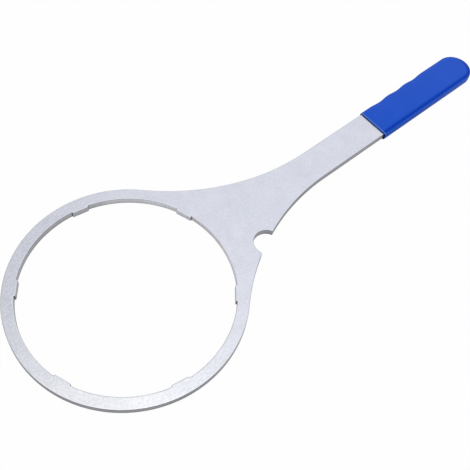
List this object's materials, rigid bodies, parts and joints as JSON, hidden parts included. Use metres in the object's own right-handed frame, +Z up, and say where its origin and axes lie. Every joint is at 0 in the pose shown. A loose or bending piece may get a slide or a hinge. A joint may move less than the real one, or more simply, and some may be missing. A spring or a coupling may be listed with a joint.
{
  "type": "filter housing wrench",
  "caption": "Flat galvanised steel ring wrench with inward lugs, a flared neck with a half-round notch and a bar handle in a blue vinyl grip, for turning filter housings.",
  "frame": {"origin": "centre of the ring, on the middle plane of the plate", "axes": "+X along the handle towards the grip, +Y towards the finger side of the grip, +Z up, normal to the plate"},
  "size_m": [0.5048, 0.1898, 0.0088],
  "materials": {
    "galvanised_steel": "pale satin zinc coating with a faint mottled grain, darker sheared edges",
    "blue_vinyl": "soft satin blue vinyl"
  },
  "bodies": {
    "root": {"wrench_plate": "galvanised_steel", "grip_sleeve": "blue_vinyl"}
  },
  "joints": []
}
